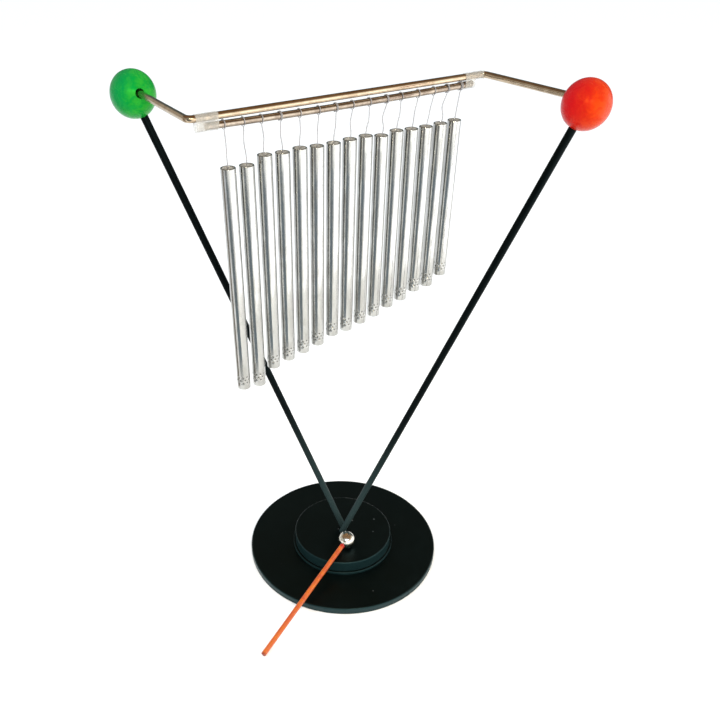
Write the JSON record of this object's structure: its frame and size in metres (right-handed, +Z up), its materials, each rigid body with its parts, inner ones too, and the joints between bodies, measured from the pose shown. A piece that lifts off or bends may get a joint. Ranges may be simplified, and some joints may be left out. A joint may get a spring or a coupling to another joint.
{
  "type": "tabletop bar chimes",
  "caption": "Row of hanging metal tubes on a level bar, carried by two leaning rods with coloured end balls over a round base, with a ball-ended mallet.",
  "frame": {"origin": "middle of the face that rests on the table", "axes": "+Z up, +X from the green ball to the red ball, -Y towards the player"},
  "size_m": [0.2632, 0.1849, 0.3366],
  "materials": {
    "black_wood": "satin black paint on turned wood",
    "felt": "pressed felt",
    "steel_screw": "zinc plated",
    "black_rod": "satin black paint",
    "green_paint": "satin green paint on a wooden ball",
    "red_paint": "satin orange-red paint on a wooden ball",
    "bar_chrome": "polished plating",
    "clear_tube": "clear soft tubing",
    "ball_steel": "polished steel ball",
    "stick_orange": "orange lacquer on a thin stick",
    "tube_aluminium": "drawn aluminium tube",
    "plug_plastic": "pale plastic bush and plug",
    "nylon_thread": "clear monofilament"
  },
  "bodies": {
    "stand": {"base_disc": "black_wood", "felt_pad": "felt", "hub_disc": "black_wood", "hub_screws": "steel_screw", "left_rod": "black_rod", "right_rod": "black_rod", "green_ball": "green_paint", "red_ball": "red_paint", "crossbar": "bar_chrome", "chime_bar": "bar_chrome", "left_sleeve": "clear_tube", "right_sleeve": "clear_tube"},
    "mallet": {"mallet_ball": "ball_steel", "mallet_stick": "stick_orange"},
    "thread_01": {"chime_thread_01": "nylon_thread"},
    "chime_01": {"chime_tube_01": "tube_aluminium", "chime_plugs_01": "plug_plastic"},
    "thread_02": {"chime_thread_02": "nylon_thread"},
    "chime_02": {"chime_tube_02": "tube_aluminium", "chime_plugs_02": "plug_plastic"},
    "thread_03": {"chime_thread_03": "nylon_thread"},
    "chime_03": {"chime_tube_03": "tube_aluminium", "chime_plugs_03": "plug_plastic"},
    "thread_04": {"chime_thread_04": "nylon_thread"},
    "chime_04": {"chime_tube_04": "tube_aluminium", "chime_plugs_04": "plug_plastic"},
    "thread_05": {"chime_thread_05": "nylon_thread"},
    "chime_05": {"chime_tube_05": "tube_aluminium", "chime_plugs_05": "plug_plastic"},
    "thread_06": {"chime_thread_06": "nylon_thread"},
    "chime_06": {"chime_tube_06": "tube_aluminium", "chime_plugs_06": "plug_plastic"},
    "thread_07": {"chime_thread_07": "nylon_thread"},
    "chime_07": {"chime_tube_07": "tube_aluminium", "chime_plugs_07": "plug_plastic"},
    "thread_08": {"chime_thread_08": "nylon_thread"},
    "chime_08": {"chime_tube_08": "tube_aluminium", "chime_plugs_08": "plug_plastic"},
    "thread_09": {"chime_thread_09": "nylon_thread"},
    "chime_09": {"chime_tube_09": "tube_aluminium", "chime_plugs_09": "plug_plastic"},
    "thread_10": {"chime_thread_10": "nylon_thread"},
    "chime_10": {"chime_tube_10": "tube_aluminium", "chime_plugs_10": "plug_plastic"},
    "thread_11": {"chime_thread_11": "nylon_thread"},
    "chime_11": {"chime_tube_11": "tube_aluminium", "chime_plugs_11": "plug_plastic"},
    "thread_12": {"chime_thread_12": "nylon_thread"},
    "chime_12": {"chime_tube_12": "tube_aluminium", "chime_plugs_12": "plug_plastic"},
    "thread_13": {"chime_thread_13": "nylon_thread"},
    "chime_13": {"chime_tube_13": "tube_aluminium", "chime_plugs_13": "plug_plastic"},
    "thread_14": {"chime_thread_14": "nylon_thread"},
    "chime_14": {"chime_tube_14": "tube_aluminium", "chime_plugs_14": "plug_plastic"},
    "thread_15": {"chime_thread_15": "nylon_thread"},
    "chime_15": {"chime_tube_15": "tube_aluminium", "chime_plugs_15": "plug_plastic"}
  },
  "joints": [
    {"name": "mallet_lift", "type": "slide", "parent": "stand", "child": "mallet", "axis": [-0.2715, -0.5351, 0.8], "range_m": [0, 0.12]},
    {"name": "swing_01", "type": "hinge", "parent": "stand", "child": "thread_01", "pos_m": [-0.05821, -0.04764, 0.32213], "axis": [0.7738, 0.6334, 0], "range_deg": [-25, 22]},
    {"name": "swing_02", "type": "hinge", "parent": "stand", "child": "thread_02", "pos_m": [-0.05004, -0.04095, 0.32197], "axis": [0.7738, 0.6334, 0], "range_deg": [-25, 18]},
    {"name": "swing_03", "type": "hinge", "parent": "stand", "child": "thread_03", "pos_m": [-0.04186, -0.03427, 0.32184], "axis": [0.7738, 0.6334, 0], "range_deg": [-25, 14]},
    {"name": "swing_04", "type": "hinge", "parent": "stand", "child": "thread_04", "pos_m": [-0.03369, -0.02758, 0.32174], "axis": [0.7738, 0.6334, 0], "range_deg": [-25, 14]},
    {"name": "swing_05", "type": "hinge", "parent": "stand", "child": "thread_05", "pos_m": [-0.02552, -0.02089, 0.32166], "axis": [0.7738, 0.6334, 0], "range_deg": [-25, 25]},
    {"name": "swing_06", "type": "hinge", "parent": "stand", "child": "thread_06", "pos_m": [-0.01735, -0.0142, 0.3216], "axis": [0.7738, 0.6334, 0], "range_deg": [-25, 25]},
    {"name": "swing_07", "type": "hinge", "parent": "stand", "child": "thread_07", "pos_m": [-0.00918, -0.00751, 0.32156], "axis": [0.7738, 0.6334, 0], "range_deg": [-25, 25]},
    {"name": "swing_08", "type": "hinge", "parent": "stand", "child": "thread_08", "pos_m": [-0.00101, -0.00082, 0.32155], "axis": [0.7738, 0.6334, 0], "range_deg": [-25, 25]},
    {"name": "swing_09", "type": "hinge", "parent": "stand", "child": "thread_09", "pos_m": [0.00717, 0.00587, 0.32156], "axis": [0.7738, 0.6334, 0], "range_deg": [-25, 25]},
    {"name": "swing_10", "type": "hinge", "parent": "stand", "child": "thread_10", "pos_m": [0.01534, 0.01255, 0.3216], "axis": [0.7738, 0.6334, 0], "range_deg": [-25, 25]},
    {"name": "swing_11", "type": "hinge", "parent": "stand", "child": "thread_11", "pos_m": [0.02351, 0.01924, 0.32166], "axis": [0.7738, 0.6334, 0], "range_deg": [-25, 25]},
    {"name": "swing_12", "type": "hinge", "parent": "stand", "child": "thread_12", "pos_m": [0.03168, 0.02593, 0.32174], "axis": [0.7738, 0.6334, 0], "range_deg": [-25, 25]},
    {"name": "swing_13", "type": "hinge", "parent": "stand", "child": "thread_13", "pos_m": [0.03985, 0.03262, 0.32184], "axis": [0.7738, 0.6334, 0], "range_deg": [-18, 25]},
    {"name": "swing_14", "type": "hinge", "parent": "stand", "child": "thread_14", "pos_m": [0.04802, 0.03931, 0.32197], "axis": [0.7738, 0.6334, 0], "range_deg": [-18, 25]},
    {"name": "swing_15", "type": "hinge", "parent": "stand", "child": "thread_15", "pos_m": [0.0562, 0.046, 0.32213], "axis": [0.7738, 0.6334, 0], "range_deg": [-22, 25]},
    {"name": "lean_01", "type": "hinge", "parent": "thread_01", "child": "chime_01", "pos_m": [-0.05821, -0.04764, 0.30143], "axis": [-0.6334, 0.7738, 0], "range_deg": [-1, 1]},
    {"name": "lean_02", "type": "hinge", "parent": "thread_02", "child": "chime_02", "pos_m": [-0.05004, -0.04095, 0.30107], "axis": [-0.6334, 0.7738, 0], "range_deg": [-0.95, 0.95]},
    {"name": "lean_03", "type": "hinge", "parent": "thread_03", "child": "chime_03", "pos_m": [-0.04186, -0.03427, 0.30454], "axis": [-0.6334, 0.7738, 0], "range_deg": [-1, 1]},
    {"name": "lean_04", "type": "hinge", "parent": "thread_04", "child": "chime_04", "pos_m": [-0.03369, -0.02758, 0.30414], "axis": [-0.6334, 0.7738, 0], "range_deg": [-1.05, 1.05]},
    {"name": "lean_05", "type": "hinge", "parent": "thread_05", "child": "chime_05", "pos_m": [-0.02552, -0.02089, 0.30466], "axis": [-0.6334, 0.7738, 0], "range_deg": [-1.05, 1.05]},
    {"name": "lean_06", "type": "hinge", "parent": "thread_06", "child": "chime_06", "pos_m": [-0.01735, -0.0142, 0.3041], "axis": [-0.6334, 0.7738, 0], "range_deg": [-1.05, 1.05]},
    {"name": "lean_07", "type": "hinge", "parent": "thread_07", "child": "chime_07", "pos_m": [-0.00918, -0.00751, 0.30406], "axis": [-0.6334, 0.7738, 0], "range_deg": [-1.1, 1.1]},
    {"name": "lean_08", "type": "hinge", "parent": "thread_08", "child": "chime_08", "pos_m": [-0.00101, -0.00082, 0.30445], "axis": [-0.6334, 0.7738, 0], "range_deg": [-1.1, 1.1]},
    {"name": "lean_09", "type": "hinge", "parent": "thread_09", "child": "chime_09", "pos_m": [0.00717, 0.00587, 0.30466], "axis": [-0.6334, 0.7738, 0], "range_deg": [-1.15, 1.15]},
    {"name": "lean_10", "type": "hinge", "parent": "thread_10", "child": "chime_10", "pos_m": [0.01534, 0.01255, 0.3033], "axis": [-0.6334, 0.7738, 0], "range_deg": [-1.15, 1.15]},
    {"name": "lean_11", "type": "hinge", "parent": "thread_11", "child": "chime_11", "pos_m": [0.02351, 0.01924, 0.30446], "axis": [-0.6334, 0.7738, 0], "range_deg": [-1.2, 1.2]},
    {"name": "lean_12", "type": "hinge", "parent": "thread_12", "child": "chime_12", "pos_m": [0.03168, 0.02593, 0.30384], "axis": [-0.6334, 0.7738, 0], "range_deg": [-1.2, 1.2]},
    {"name": "lean_13", "type": "hinge", "parent": "thread_13", "child": "chime_13", "pos_m": [0.03985, 0.03262, 0.30364], "axis": [-0.6334, 0.7738, 0], "range_deg": [-1.25, 1.25]},
    {"name": "lean_14", "type": "hinge", "parent": "thread_14", "child": "chime_14", "pos_m": [0.04802, 0.03931, 0.30397], "axis": [-0.6334, 0.7738, 0], "range_deg": [-1.25, 1.25]},
    {"name": "lean_15", "type": "hinge", "parent": "thread_15", "child": "chime_15", "pos_m": [0.0562, 0.046, 0.30433], "axis": [-0.6334, 0.7738, 0], "range_deg": [-1.35, 1.35]}
  ]
}
